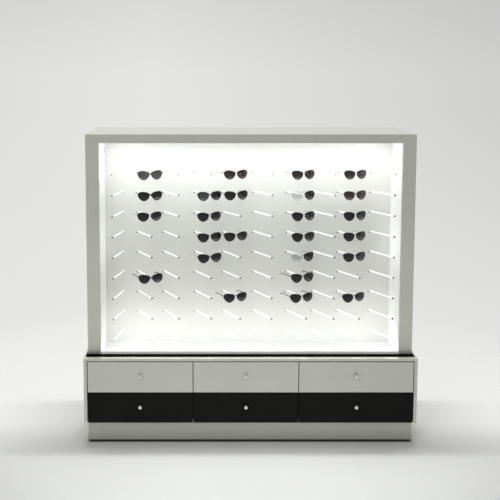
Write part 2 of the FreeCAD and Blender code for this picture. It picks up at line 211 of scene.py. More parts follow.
# the world is a pale backdrop where it is seen, and an even light where it isn't
world = bpy.data.worlds.new("paleRoom")
bpy.context.scene.world = world
world.use_nodes = True
room = world.node_tree
room.nodes.clear()
view = addNode(room, "ShaderNodeTexCoord").outputs["Generated"]
towards = addNode(room, "ShaderNodeSeparateXYZ", {"Vector": view}).outputs
rise = addNode(room, "ShaderNodeMapRange", {"Value": towards["Z"], **span("From", *studio["wallSpan"])})
wall = addNode(room, "ShaderNodeValToRGB", {"Fac": rise}, stops=studio["wall"])
across = addNode(room, "ShaderNodeMapRange", {"Value": towards["X"], **span("From", *studio["sidesSpan"])})
sides = addNode(room, "ShaderNodeValToRGB", {"Fac": across}, stops=studio["sides"])
higher = addNode(room, "ShaderNodeMapRange", {"Value": towards["Z"], **span("From", *studio["sidesSetIn"])})
sided = addNode(room, "ShaderNodeMix", {0: higher, 6: "#FFFFFF", 7: sides}, data_type="RGBA")
shaded = addNode(room, "ShaderNodeVectorMath", {0: wall, 1: sided.outputs[2]}, operation="MULTIPLY")
seenWall = addNode(room, "ShaderNodeBackground", {"Color": shaded, "Strength": 1.0})
evenLight = addNode(room, "ShaderNodeBackground", {"Color": studio["roomHue"],
                                                   "Strength": studio["roomLight"]})
ray = addNode(room, "ShaderNodeLightPath").outputs
seenOrShiny = addNode(room, "ShaderNodeMath", {0: ray["Is Camera Ray"], 1: ray["Is Glossy Ray"]},
                      operation="MAXIMUM")
seenAnyway = addNode(room, "ShaderNodeMath", {0: seenOrShiny, 1: ray["Is Transmission Ray"]},
                     operation="MAXIMUM")
either = addNode(room, "ShaderNodeMixShader", {0: seenAnyway, 1: evenLight, 2: seenWall})
addNode(room, "ShaderNodeOutputWorld", {"Surface": either})


# a lamp with a flat face that lights the scene and isn't seen itself, not in reflections either
def addLamp(name, power, size, at, aim, hue="#FFFFFF", spread=180):
    light = bpy.data.lights.new(name, "AREA")
    light.shape = "RECTANGLE"
    light.size, light.size_y = size
    light.energy = power
    light.color = paint(hue)[:3]
    light.spread = math.radians(spread)
    lamp = bpy.data.objects.new(name, light)
    bpy.context.scene.collection.objects.link(lamp)
    lamp.location = at
    lamp.rotation_mode = "QUATERNION"
    lamp.rotation_quaternion = (Vector(aim) - Vector(at)).to_track_quat("-Z", "Y")
    lamp.visible_camera = False
    lamp.visible_glossy = False


addLamp("overheadStrip", studio["stripPower"], studio["stripSize"], studio["overheadAt"], studio["aim"])
addLamp("overheadSoftbox", studio["softPower"], studio["softSize"], studio["overheadAt"], studio["aim"])
addLamp("frontSoftbox", studio["frontPower"], studio["frontSize"], studio["frontAt"], studio["frontAim"])

# painted floor that pales away from the cabinet and melts into the backdrop; its middle before the cabinet is
# painted lighter than its sides, a painted pool of light from the lit case, and beside the cabinet it pales
# sooner and turns partly clear, which is painted light over the cabinet's shadow there
floor = {
    # the middle's lighter tone is a painted pool of light, and the shift at the sides is painted light over
    # the cabinet's shadow
    "middle": "#D2D3D0", "sides": "#C6C7C4", "behind": "#EEEFEC", "roughness": 0.75,
    "outward": (0.25, 1.1),    # the middle's tone turns into the sides' over this stretch
    "beside": (0.72, 0.90),    # a spot further out than this is beside the cabinet
    "backward": (-0.32, 0.24), "paintedLightShift": 0.19,  # backwards it pales, and sooner at the sides
    "cloud": 1.6, "cloudSpan": (0.985, 1.015),
    "gapBefore": 0.030, "gapInside": 0.002, "gapSide": 0.010, "gapBack": 0.004, "gapLight": 0.04,
    "melt": (1.1, 2.4), "besideClear": 0.6,
    "radius": 3.3, "thick": 0.002,
}
floorPaint, tree, shader = newFinish("paleFloorPaint", Roughness=floor["roughness"])
spot = addNode(tree, "ShaderNodeTexCoord").outputs["Object"]
reach = addNode(tree, "ShaderNodeVectorMath", {0: spot}, operation="LENGTH")
axes = placeAxes(tree)
aside = addNode(tree, "ShaderNodeMath", {0: axes["X"]}, operation="ABSOLUTE")
beside = addNode(tree, "ShaderNodeMapRange", {"Value": aside, **span("From", *floor["beside"])},
                 interpolation_type="SMOOTHSTEP")
shifted = addNode(tree, "ShaderNodeMath", {0: beside, 1: floor["paintedLightShift"], 2: axes["Y"]},
                  operation="MULTIPLY_ADD")
behind = addNode(tree, "ShaderNodeMapRange", {"Value": shifted, **span("From", *floor["backward"])},
                 interpolation_type="SMOOTHSTEP")
outward = addNode(tree, "ShaderNodeMapRange", {"Value": aside, **span("From", *floor["outward"])},
                  interpolation_type="SMOOTHSTEP")
paintedPoolTone = addNode(tree, "ShaderNodeMix", {0: outward, 6: floor["middle"], 7: floor["sides"]},
                   data_type="RGBA")
floorTone = addNode(tree, "ShaderNodeMix", {0: behind, 6: paintedPoolTone.outputs[2], 7: floor["behind"]},
                    data_type="RGBA")
cloud = addNode(tree, "ShaderNodeTexNoise", {"Vector": spot, "Scale": floor["cloud"], "Detail": 2.0})
softer = addNode(tree, "ShaderNodeMapRange", {"Value": cloud, **span("To", *floor["cloudSpan"])})
# hardly any light gets under the plinth, so the floor is dark there and a little before it
plinthLow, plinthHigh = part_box("plinth")
frontEdge = (plinthLow.y - floor["gapBefore"], plinthLow.y + floor["gapInside"])
sideEdge = (plinthHigh.x + floor["gapSide"], plinthHigh.x - floor["gapSide"])
nearFront = addNode(tree, "ShaderNodeMapRange", {"Value": axes["Y"], **span("From", *frontEdge)},
                    interpolation_type="SMOOTHSTEP")
nearSide = addNode(tree, "ShaderNodeMapRange", {"Value": aside, **span("From", *sideEdge)},
                   interpolation_type="SMOOTHSTEP")
underBack = addNode(tree, "ShaderNodeMath", {0: axes["Y"], 1: plinthHigh.y - floor["gapBack"]},
                    operation="LESS_THAN")
underPart = addNode(tree, "ShaderNodeMath", {0: nearFront, 1: nearSide}, operation="MULTIPLY")
underAll = addNode(tree, "ShaderNodeMath", {0: underPart, 1: underBack}, operation="MULTIPLY")
lightLeft = addNode(tree, "ShaderNodeMapRange", {"Value": underAll, **span("To", 1.0, floor["gapLight"])})
strength = addNode(tree, "ShaderNodeMath", {0: softer, 1: lightLeft}, operation="MULTIPLY")
addNode(tree, "ShaderNodeVectorMath", {0: floorTone.outputs[2], "Scale": strength},
        into=(0, shader.inputs["Base Color"]), operation="SCALE")
fade = addNode(tree, "ShaderNodeMapRange", {"Value": reach.outputs["Value"], **span("From", *floor["melt"])},
               interpolation_type="SMOOTHSTEP")
# painted light: beside and behind the cabinet the floor turns partly clear, so the pale backdrop shows
# through the cabinet's shadow
thinner = addNode(tree, "ShaderNodeMath", {0: behind, 1: beside}, operation="MULTIPLY")
thinned = addNode(tree, "ShaderNodeMath", {0: thinner, 1: floor["besideClear"]}, operation="MULTIPLY")
clearness = addNode(tree, "ShaderNodeMath", {0: fade, 1: thinned}, operation="MAXIMUM")
clearEdge = addNode(tree, "ShaderNodeBsdfTransparent")
addNode(tree, "ShaderNodeMixShader", {0: clearness, 1: shader, 2: clearEdge},
        into=(0, tree.nodes["Material Output"].inputs["Surface"]))

floorShape = turned([(floor["radius"], -floor["thick"]), (floor["radius"], 0.0)], 96)
studioFloor = bpy.data.objects.new("studioFloor", meshOf("studioFloor", floorShape, floorPaint))
bpy.context.scene.collection.objects.link(studioFloor)
print("camera, floor and light done")


# Finishes

# Silver lacquer with aluminium flake, sprayed on MDF and flatted along the board: it is half paint and
# half metal, so it takes the tone of what stands before it, with faint long streaks and a fine sparkle.
silver = {
    # the rail's tone is painted near white: painted light, for the case's light that falls on it
    "caseTone": "#B8B9B0", "baseTone": "#C6C7BE", "railPaintedLightTone": "#F2F3EC",
    "streakWide": 0.009, "streakLong": 0.5, "streakLift": 0.030, "drawerLift": 0.015,
    "cloud": 0.35, "cloudShare": 0.35, "rub": 0.02,
    "flake": 0.003, "flakeLift": 0.02,  # flakes are about 0.05 mm and drawn at 3 mm to show at all
    "peel": 0.004,                      # orange peel of sprayed lacquer is 1 to 2 mm wide, drawn at 4 mm
    "peelBump": {"Strength": 0.05, "Distance": 0.0002},
    "noiseSpan": (0.3, 0.7),  # nearly all of a noise lies in here
    # painted reflection: the counter's colour is lighter where it faces up
    "upward": (0.5, 0.9), "upwardPaintedReflection": (1.0, 1.38),         # the counter, by how far it faces up
    # painted light: the stiles are lighter further down
    "stileHeight": (0.55, 1.05), "stilePaintedLight": (1.18, 1.02),  # the stiles, by their height
}


def silverLacquer(name, tone, sizes, lift=silver["streakLift"], metal=0.60, roughness=0.32):
    finish, tree, shader = newFinish(name, Metallic=metal, IOR=1.48)
    streak = addNode(tree, "ShaderNodeTexNoise", sized(tree, *sizes, Detail=3.0, Roughness=0.6))
    cloud = addNode(tree, "ShaderNodeTexNoise", sized(tree, silver["cloud"], Detail=2.0))
    flake = addNode(tree, "ShaderNodeTexVoronoi", sized(tree, silver["flake"]))
    glint = addNode(tree, "ShaderNodeMapRange", {"Value": flake.outputs["Color"],
                                                 **span("To", -silver["flakeLift"], silver["flakeLift"])})
    broad = addNode(tree, "ShaderNodeMix", {0: silver["cloudShare"], 2: streak, 3: cloud})
    gain = addNode(tree, "ShaderNodeMapRange", {"Value": broad, **span("From", *silver["noiseSpan"]),
                                                **span("To", 1 - lift, 1 + lift)})
    both = addNode(tree, "ShaderNodeMath", {0: gain, 1: glint}, operation="ADD")
    addNode(tree, "ShaderNodeVectorMath", {0: silver[tone], "Scale": both},
            into=(0, shader.inputs["Base Color"]), operation="SCALE")
    addNode(tree, "ShaderNodeMapRange", {"Value": streak, **span("From", *silver["noiseSpan"]),
                                         **span("To", roughness - silver["rub"], roughness + silver["rub"])},
            into=(0, shader.inputs["Roughness"]))
    peel = addNode(tree, "ShaderNodeTexNoise", sized(tree, silver["peel"], Detail=1.0))
    addNode(tree, "ShaderNodeBump", {"Height": peel, **silver["peelBump"]}, into=(0, shader.inputs["Normal"]))
    return finish


wide, long = silver["streakWide"], silver["streakLong"]
standing, lying = (wide, wide, long), (long, wide, wide)
silverUpright = silverLacquer("silverFlakeLacquerUpright", "caseTone", standing)
silverSide = silverLacquer("silverFlakeLacquerSide", "baseTone", standing)
silverHeader = silverLacquer("silverFlakeLacquerHeader", "caseTone", lying)
silverPlinth = silverLacquer("silverFlakeLacquerPlinth", "caseTone", lying, metal=0.5)
silverTop = silverLacquer("silverFlakeLacquerTop", "baseTone", lying, metal=0.40, roughness=0.20)
# painted light: the rail's lacquer is drawn near white
silverRail = silverLacquer("silverFlakeLacquerRailPaintedLight", "railPaintedLightTone", lying, metal=0.0)
silverDrawer = silverLacquer("silverFlakeLacquerDrawer", "baseTone", (long, wide, wide * 2),
                             silver["drawerLift"])
silverCounter = silverLacquer("silverFlakeLacquerCounter", "baseTone", lying, metal=0.5, roughness=0.13)


# multiplies a finish's base colour, by the first gain at a value's first limit and the second at its other
def scaleTone(tree, value, limits, gains):
    toned = tree.nodes["Principled BSDF"].inputs["Base Color"]
    limited = {"Value": value, **span("From", *limits), **span("To", *gains)}
    amount = addNode(tree, "ShaderNodeMapRange", limited)
    addNode(tree, "ShaderNodeVectorMath", {0: toned.links[0].from_socket, "Scale": amount},
            into=(0, toned), operation="SCALE")


# the counter's upper face is polished, and its colour is painted lighter the more it faces up: a painted
# reflection of the lit case, which its front edge shows less of
tree = silverCounter.node_tree
normal = addNode(tree, "ShaderNodeNewGeometry").outputs["Normal"]
upward = addNode(tree, "ShaderNodeSeparateXYZ", {"Vector": normal}).outputs["Z"]
scaleTone(tree, upward, silver["upward"], silver["upwardPaintedReflection"])
# further down, towards the counter, the stiles are painted lighter: painted light, for more of the counter's
# light that they take up
tree = silverUpright.node_tree
scaleTone(tree, placeAxes(tree)["Z"], silver["stileHeight"], silver["stilePaintedLight"])

# Satin black lacquer on MDF, sprayed: deep black with a low soft sheen and a trace of cloudiness.
black = {"tone": "#0E0E0D", "haze": "#141412", "roughness": 0.40, "gloss": 0.10, "sheen": (0.34, 0.46),
         "cloud": (0.30, 0.02, 0.02)}
blackLacquer, tree, shader = newFinish("satinBlackLacquerSprayed", Roughness=black["roughness"],
                                       Specular_IOR_Level=black["gloss"])
cloud = addNode(tree, "ShaderNodeTexNoise", sized(tree, *black["cloud"], Detail=3.0))
addNode(tree, "ShaderNodeMix", {0: cloud, 6: black["tone"], 7: black["haze"]},
        into=(2, shader.inputs["Base Color"]), data_type="RGBA")
addNode(tree, "ShaderNodeMapRange", {"Value": cloud, **span("To", *black["sheen"])},
        into=(0, shader.inputs["Roughness"]))

# High-pressure laminate, pressed with a fine matt texture: black, dry-looking, almost no reflection.
# Its grain is under 1 mm and is drawn at 4 mm.
inlay = {"tone": "#060606", "fleck": "#0C0C0B", "grain": 0.004, "roughness": 0.8, "gloss": 0.01,
         "bump": {"Strength": 0.1, "Distance": 0.0002}}
blackLaminate, tree, shader = newFinish("blackLaminatePressed", Roughness=inlay["roughness"],
                                        Specular_IOR_Level=inlay["gloss"])
fleck = addNode(tree, "ShaderNodeTexNoise", sized(tree, inlay["grain"], Detail=2.0))
addNode(tree, "ShaderNodeMix", {0: fleck, 6: inlay["tone"], 7: inlay["fleck"]},
        into=(2, shader.inputs["Base Color"]), data_type="RGBA")
addNode(tree, "ShaderNodeBump", {"Height": fleck, **inlay["bump"]}, into=(0, shader.inputs["Normal"]))

# Matt white lacquer inside the case, rolled: soft white that spreads the light, with a faint roller stipple.
# The panel is painted a shade greyer than the linings, painted shade so that the lamps' fall-off shows on it,
# and the linings are painted whiter, painted light. The stipple is 1 to 2 mm wide and is drawn at 6 mm.
inside = {"panel": ("#CACBC7", "#C6C7C3"), "panelRoughness": 0.60,
          "lining": ("#F3F3F2", "#EEEEED"), "liningRoughness": 0.32,
          "stipple": 0.006, "wash": 0.4, "bump": {"Strength": 0.06, "Distance": 0.0003}}


def whiteLacquer(name, board):
    tones = inside[board]
    finish, tree, shader = newFinish(name, Roughness=inside[board + "Roughness"])
    stipple = addNode(tree, "ShaderNodeTexNoise", sized(tree, inside["stipple"], Detail=2.0))
    wash = addNode(tree, "ShaderNodeTexNoise", sized(tree, inside["wash"], Detail=2.0))
    addNode(tree, "ShaderNodeMix", {0: wash, 6: tones[0], 7: tones[1]},
            into=(2, shader.inputs["Base Color"]), data_type="RGBA")
    addNode(tree, "ShaderNodeBump", {"Height": stipple, **inside["bump"]},
            into=(0, shader.inputs["Normal"]))
    return finish


panelLacquer = whiteLacquer("mattWhiteLacquerPaintedShadePanel", "panel")
liningLacquer = whiteLacquer("satinWhiteLacquerPaintedLightLining", "lining")

# White melamine-faced board, pressed with a pearl grain: flat white with a dry, fine-grained shine. The
# grain is under 1 mm and is drawn at 3 mm.
melamine = {"tone": "#E2E2DD", "shade": "#D8D8D2", "wash": 0.25, "pearl": 0.003, "roughness": 0.48,
            # the dark tone and its depth are a painted shade on the dividers' front edge
            "gapShadeTone": "#101010", "gapShadeDeep": 0.0015, "bump": {"Strength": 0.08, "Distance": 0.0002}}
whiteMelamine, tree, shader = newFinish("whiteMelaminePressed", Roughness=melamine["roughness"])
pearl = addNode(tree, "ShaderNodeTexVoronoi", sized(tree, melamine["pearl"]), feature="SMOOTH_F1")
wash = addNode(tree, "ShaderNodeTexNoise", sized(tree, melamine["wash"], Detail=3.0))
addNode(tree, "ShaderNodeMix", {0: wash, 6: melamine["tone"], 7: melamine["shade"]},
        into=(2, shader.inputs["Base Color"]), data_type="RGBA")
addNode(tree, "ShaderNodeBump", {"Height": pearl.outputs["Distance"], **melamine["bump"]},
        into=(0, shader.inputs["Normal"]))

# The same board with its front edge painted black: painted shade, so that the gaps between the drawers stay
# dark.
gapShadeMelamine = whiteMelamine.copy()
gapShadeMelamine.name = "whiteMelaminePressedGapShade"
tree = gapShadeMelamine.node_tree
toned = tree.nodes["Principled BSDF"].inputs["Base Color"]
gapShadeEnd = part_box("base_dividers")[0].y + melamine["gapShadeDeep"]
gapShadeMask = addNode(tree, "ShaderNodeMath", {0: placeAxes(tree)["Y"], 1: gapShadeEnd}, operation="LESS_THAN")
addNode(tree, "ShaderNodeMix", {0: gapShadeMask, 6: toned.links[0].from_socket, 7: melamine["gapShadeTone"]},
        into=(2, toned), data_type="RGBA")

# Steel sheet, rolled and zinc-plated: cool grey metal with a soft patchy brightness from the plating bath.
zinc = {"tone": "#C6C8CA", "dull": "#AEB1B4", "patch": (0.012, 0.05, 0.012), "roughness": 0.34,
        "sheen": (0.28, 0.42)}
zincSteel, tree, shader = newFinish("zincPlatedSteelRolled", Metallic=1.0, Roughness=zinc["roughness"])
patch = addNode(tree, "ShaderNodeTexVoronoi", sized(tree, *zinc["patch"]), feature="SMOOTH_F1")
addNode(tree, "ShaderNodeMix", {0: patch.outputs["Distance"], 6: zinc["tone"], 7: zinc["dull"]},
        into=(2, shader.inputs["Base Color"]), data_type="RGBA")
addNode(tree, "ShaderNodeMapRange", {"Value": patch.outputs["Distance"], **span("To", *zinc["sheen"])},
        into=(0, shader.inputs["Roughness"]))


# a polished or drawn metal with fine lines, which change its tone and its roughness a little
def linedMetal(name, metal):
    finish, tree, shader = newFinish(name, Metallic=1.0, Roughness=metal["roughness"])
    lines = addNode(tree, "ShaderNodeTexNoise", sized(tree, *metal["lines"], Detail=2.0))
    addNode(tree, "ShaderNodeMix", {0: lines, 6: metal["tone"], 7: metal["line"]},
            into=(2, shader.inputs["Base Color"]), data_type="RGBA")
    addNode(tree, "ShaderNodeMapRange", {"Value": lines, **span("To", *metal["sheen"])},
            into=(0, shader.inputs["Roughness"]))
    return finish


# Brass turned on a lathe, chromed and polished: a bright mirror, a little softer along the turning lines.
# These are about 0.1 mm apart and are drawn 1.2 mm apart, as are the next metal's.
chrome = {"tone": "#EDEEED", "line": "#E2E3E2", "lines": (0.02, 0.0012, 0.02), "roughness": 0.12,
          "sheen": (0.09, 0.15)}
polishedChrome = linedMetal("polishedChromeTurned", chrome)

# Aluminium, extruded and anodised clear: fine lines along its length, a silky grey.
profile = {"tone": "#CFD0D1", "line": "#BDBEC0", "lines": (0.8, 0.0012, 0.0012), "roughness": 0.36,
           "sheen": (0.28, 0.44)}
anodised = linedMetal("anodisedAluminiumExtruded", profile)

# Opal polycarbonate, extruded, lit from behind: an even warm white glow, a little brighter over each diode.
# Diodes are 16 mm apart. A Wave texture has a little over three waves to its unit.
opal = {"tone": "#F6F5F0", "between": "#F6EFE4", "glow": "#FFF8EE", "strength": 4.0, "roughness": 0.5,
        "diodePitch": 0.0166, "wavesInUnit": 3.14}
opalCover, tree, shader = newFinish("opalPolycarbonateExtruded", Roughness=opal["roughness"],
                                    Emission_Strength=opal["strength"], Base_Color=paint(opal["tone"]))
diodes = addNode(tree, "ShaderNodeTexWave", sized(tree, opal["diodePitch"] * opal["wavesInUnit"], 1, 1),
                 bands_direction="X")
addNode(tree, "ShaderNodeMix", {0: diodes.outputs["Fac"], 6: opal["between"], 7: opal["glow"]},
        into=(2, shader.inputs["Emission Color"]), data_type="RGBA")


# a clear plastic with a faint cloud of two tones in it
def cloudyClear(name, clear, size=0.02, detail=1.0, swirl=0.0, **constants):
    finish, tree, shader = newFinish(name, Roughness=clear["roughness"], IOR=clear["ior"],
                                     Alpha=clear["seen"], **constants)
    cloud = addNode(tree, "ShaderNodeTexNoise", sized(tree, size, Detail=detail, Distortion=swirl))
    mixed = addNode(tree, "ShaderNodeMix", {0: cloud, 6: clear["tone"], 7: clear["cloud"]},
                    into=(2, shader.inputs["Base Color"]), data_type="RGBA")
    if "Emission_Strength" in constants:
        tree.links.new(mixed.outputs[2], shader.inputs["Emission Color"])
    return finish


# Clear acrylic rod, extruded: one sees through it, and it has a painted glow, a soft white, for the light it
# would take in at its foot and give off along its length. Where it is shaded it has no painted glow and is
# clear, with a faint grey edge.
paintedGlowRod = {"tone": "#FBFCFA", "cloud": "#F3F5F3", "seen": 0.18, "glow": 1.7, "roughness": 0.15, "ior": 1.49}
shadedRod = {"tone": "#C9CBC8", "cloud": "#BDBFBC", "seen": 0.05, "roughness": 0.04, "ior": 1.49}
paintedGlowAcrylic = cloudyClear("paintedGlowAcrylicExtruded", paintedGlowRod, Emission_Strength=paintedGlowRod["glow"])
clearAcrylic = cloudyClear("clearAcrylicExtruded", shadedRod)


# a dull plastic with a fine texture: two tones lie over it, and so does its bump
def texturedPlastic(name, plastic):
    finish, tree, shader = newFinish(name, Roughness=plastic["roughness"])
    spark = addNode(tree, "ShaderNodeTexNoise", sized(tree, plastic["texture"], Detail=2.0))
    addNode(tree, "ShaderNodeMix", {0: spark, 6: plastic["tone"], 7: plastic["shade"]},
            into=(2, shader.inputs["Base Color"]), data_type="RGBA")
    addNode(tree, "ShaderNodeBump", {"Height": spark, **plastic["bump"]}, into=(0, shader.inputs["Normal"]))
    return finish


# Grey ABS, moulded: even mid grey with a fine spark-eroded texture, of about 0.1 mm and drawn at 0.8 mm.
# Close to the light profiles, above and below, the small caps and covers are painted paler: painted light,
# for the profiles' spill.
moulded = {"tone": "#6F7171", "shade": "#656767", "paintedLightTone": "#D4D6D3", "texture": 0.0008, "roughness": 0.45,
           "bump": {"Strength": 0.1, "Distance": 0.0001},
           "paintedLightSpan": (0.33, 0.43)}  # distances from the middle of the panel
greyAbs = texturedPlastic("greyAbsMoulded", moulded)
tree = greyAbs.node_tree
toned = tree.nodes["Principled BSDF"].inputs["Base Color"]
panelLow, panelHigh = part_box("light_panel")
offMiddle = addNode(tree, "ShaderNodeMath", {0: placeAxes(tree)["Z"], 1: (panelLow.z + panelHigh.z) / 2},
                    operation="SUBTRACT")
farOff = addNode(tree, "ShaderNodeMath", {0: offMiddle}, operation="ABSOLUTE")
paintedLightSpan = addNode(tree, "ShaderNodeMapRange", {"Value": farOff, **span("From", *moulded["paintedLightSpan"])},
                  interpolation_type="SMOOTHSTEP")
addNode(tree, "ShaderNodeMix", {0: paintedLightSpan, 6: toned.links[0].from_socket, 7: moulded["paintedLightTone"]},
        into=(2, toned), data_type="RGBA")

# Black nylon, moulded: charcoal with a fine dry texture, of about 0.1 mm and drawn at 1.5 mm.
nylon = {"tone": "#1E1E1F", "shade": "#28282A", "texture": 0.0015, "roughness": 0.55,
         "bump": {"Strength": 0.15, "Distance": 0.0002}}
blackNylon = texturedPlastic("blackNylonMoulded", nylon)

# Cellulose acetate, cut from sheet and tumbled: black with a wet polish and a trace of brown in its depth,
# or clear as glass with a faint swirl.
acetate = {"tone": "#0A0909", "depth": "#14110F", "cloud": 0.02, "roughness": 0.12, "ior": 1.48}
clearSheet = {"tone": "#E6E8E4", "cloud": "#D2D4D0", "seen": 0.22, "roughness": 0.10, "ior": 1.48}
blackAcetate, tree, shader = newFinish("blackAcetateTumbled", Roughness=acetate["roughness"],
                                       IOR=acetate["ior"])
cloud = addNode(tree, "ShaderNodeTexNoise", sized(tree, acetate["cloud"], Detail=3.0))
addNode(tree, "ShaderNodeMix", {0: cloud, 6: acetate["tone"], 7: acetate["depth"]},
        into=(2, shader.inputs["Base Color"]), data_type="RGBA")
clearAcetate = cloudyClear("clearAcetateTumbled", clearSheet, detail=2.0, swirl=1.0)

# Lens of cast resin, dip-tinted: dark above and paler below, glossy, the panel shows faintly through it.
# For each tint its name, the tones above and below, and where the upper one is reached.
lensResin = {"roughness": 0.03, "ior": 1.50, "gloss": 0.09, "dip": (-0.030, 0.014)}
tints = {
    "black": ("blackResinDipped", "#060607", "#2A2A29", 0.35),
    "smoke": ("smokeResinDipped", "#0A0A0B", "#7C7D7A", 0.45),
    "slate": ("slateResinDipped", "#393D3D", "#6F7271", 0.35),
    "plum": ("plumResinDipped", "#2E1F1E", "#8A7A74", 0.35),
    "grey": ("greyResinDipped", "#454747", "#737472", 0.35),
    "pale": ("paleResinDipped", "#CDCFCC", "#F0F2EE", 0.35),
}
lensTints = {}
for tint, (name, above, below, split) in tints.items():
    lensTints[tint], tree, shader = newFinish(name, Roughness=lensResin["roughness"], IOR=lensResin["ior"],
                                              Transmission_Weight=1.0, Specular_IOR_Level=lensResin["gloss"])
    up = placeAxes(tree)["Y"]
    dip = addNode(tree, "ShaderNodeMapRange", {"Value": up, **span("From", *lensResin["dip"])},
                  interpolation_type="SMOOTHSTEP")
    addNode(tree, "ShaderNodeValToRGB", {"Fac": dip}, stops=[(0.0, below), (split, above), (1.0, above)],
            into=(0, shader.inputs["Base Color"]))
print("finishes done")


# Boards, as the frame has them

allSix = range(1, 7)
easing = {"width": 0.0008, "segments": 2, "corner": 40, "weld": 0.00002}  # edges are sanded after cutting
easedBoards = [
    (silverUpright, ["case_stile_left", "case_stile_right"]),
    (silverSide, ["base_side_left", "base_side_right"]),
    (silverHeader, ["case_header"]),
    (silverRail, ["case_rail"]),
    (silverPlinth, ["plinth"]),
    (silverTop, ["case_top"]),
    (silverDrawer, ["drawer_front_%d" % i for i in (1, 2, 3)]),
    (blackLacquer, ["drawer_front_%d" % i for i in (4, 5, 6)]),
]
plainBoards = [
    (silverUpright, ["case_sides"]),
    (silverCounter, ["base_top"]),
    (blackLaminate, ["counter_inlay"]),
    (panelLacquer, ["light_panel"]),
    (liningLacquer, ["side_linings", "ceiling_lining", "case_floor"]),
    (gapShadeMelamine, ["base_dividers"]),
    (whiteMelamine, ["base_bottom", "base_back", "case_back", "service_hatch"]),
    (whiteMelamine, ["drawer_box_%d" % i for i in allSix]),
    (zincSteel, ["runner_outer"] + ["runner_%s_%d" % (k, i) for k in ("middle", "inner") for i in allSix]),
    (anodised, ["led_channels", "led_driver"]),
    (opalCover, ["led_diffusers"]),
    (blackNylon, ["cable_outlet"]),
]
for finish, names in easedBoards + plainBoards:
    for name in names:
        nodes[name].data.materials.clear()
        nodes[name].data.materials.append(finish)
for finish, names in easedBoards:
    for name in names:
        nodes[name].modifiers.new("oneSkin", "WELD").merge_threshold = easing["weld"]
        bevel = nodes[name].modifiers.new("easedEdges", "BEVEL")
        bevel.width = easing["width"]
        bevel.segments = easing["segments"]
        bevel.limit_method = "ANGLE"
        bevel.angle_limit = math.radians(easing["corner"])
        bevel.harden_normals = True
print("boards done")


# Knobs and feet

# outline of a turned knob, a ball on a short neck, from its face to its foot: (radius, distance)
knob = {"ball": 0.0112, "ballSteps": 18, "stepTurn": 9,
        "neck": [(0.0046, 0.0219), (0.0040, 0.0230), (0.0040, 0.0256), (0.0044, 0.0270)]}
ballTurns = [math.radians(knob["stepTurn"] * k) for k in range(knob["ballSteps"])]
ballOutline = [(knob["ball"] * math.sin(t), knob["ball"] * (1 - math.cos(t))) for t in ballTurns]
knobShape = turned(ballOutline + knob["neck"], 56)
towardsBack = Matrix.Rotation(math.radians(-90), 4, "X")
for i in allSix:
    low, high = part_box("knob_%d" % i)
    stand = Matrix.Translation(((low.x + high.x) / 2, low.y, (low.z + high.z) / 2)) @ towardsBack
    name = "turnedKnob_%d" % i
    addPiece(name, meshOf(name, placed(knobShape, stand), polishedChrome), "drawer_%d" % i,
             ["knob_%d" % i])

feet = {"pad": [(0.0, 0.0), (0.0165, 0.0), (0.0178, 0.0008), (0.0180, 0.0020), (0.0176, 0.0044),
                (0.0160, 0.0058), (0.0100, 0.0064), (0.0, 0.0066)],
        "padRadius": 0.018, "nut": 0.0098, "nutHeights": (0.005, 0.016)}
low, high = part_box("levelling_feet")
corners = [math.pi / 3 * k for k in range(6)]
nutShape = skinned([[Vector((feet["nut"] * math.cos(a), feet["nut"] * math.sin(a), z)) for a in corners]
                    for z in feet["nutHeights"]])
footShapes = []
for x in (low.x + feet["padRadius"], 0.0, high.x - feet["padRadius"]):
    for y in (low.y + feet["padRadius"], high.y - feet["padRadius"]):
        spot = Matrix.Translation((x, y, 0))
        footShapes += [placed(turned(feet["pad"]), spot), placed(nutShape, spot)]
addPiece("screwFeet", meshOf("screwFeet", joined(footShapes), blackNylon), "cabinet",
         ["levelling_feet"])
print("knobs and feet done")


# Rods

rods = {"radius": 0.0030, "length": 0.205, "yaw": 23, "leftYaw": -10, "rise": 2,
        "columns": (-0.563, -0.430, -0.270, -0.127, 0.029, 0.200, 0.336, 0.463, 0.628), "leftColumn": -0.636,
        "firstRow": 1.363, "secondRow": 1.293, "pitch": 0.103, "rows": 10,
        "inPanel": 0.003, "joint": 0.0002,
        # outline of a turned cap: (radius, distance past the rod's end)
        "cap": [(0.0, -0.0002), (0.0042, -0.0002), (0.0047, 0.0004), (0.0048, 0.0012), (0.0048, 0.0052),
                (0.0045, 0.0063), (0.0036, 0.0070), (0.0, 0.0070)]}
panelFront = panelLow.y


# x across, y up and z along the rod, with the origin at its foot on the panel
def rodMatrix(x, z, yaw):
    a, b = math.radians(yaw), math.radians(rods["rise"])
    along = Vector((math.sin(a) * math.cos(b), -math.cos(a) * math.cos(b), math.sin(b)))
    across = Vector((math.cos(a), math.sin(a), 0))
    turn = Matrix((across, along.cross(across), along)).transposed().to_4x4()
    return Matrix.Translation((x, panelFront, z)) @ turn


# rows are counted from 1 at the top
def rowHeight(row):
    return rods["firstRow"] if row == 1 else rods["secondRow"] - rods["pitch"] * (row - 2)


rodPlaces = [(x, rowHeight(row), rods["yaw"]) for row in range(1, rods["rows"] + 1) for x in rods["columns"]]
rodPlaces += [(rods["leftColumn"], rowHeight(row), rods["leftYaw"]) for row in range(2, rods["rows"] + 1)]

radius, length = rods["radius"], rods["length"]
capShape = turned([(wide, length + past) for wide, past in rods["cap"]], 32)
# for each column the rows that hold a pair, with its distance from the panel along the rod
stock = {
    0: {2: 0.196, 3: 0.197, 4: 0.187, 7: 0.198},
    2: {3: 0.192, 4: 0.190, 5: 0.192, 6: 0.196},
    3: {2: 0.158, 3: 0.163, 5: 0.160, 8: 0.158},
    5: {2: 0.171, 3: 0.173, 4: 0.176, 5: 0.177, 6: 0.170, 7: 0.172, 8: 0.166},
    7: {2: 0.158, 3: 0.158, 4: 0.160, 5: 0.160, 6: 0.161, 8: 0.159},
}


def rodPart(start, end):
    return turned([(0.0, start), (radius, start), (radius, end), (0.0, end)], 24)
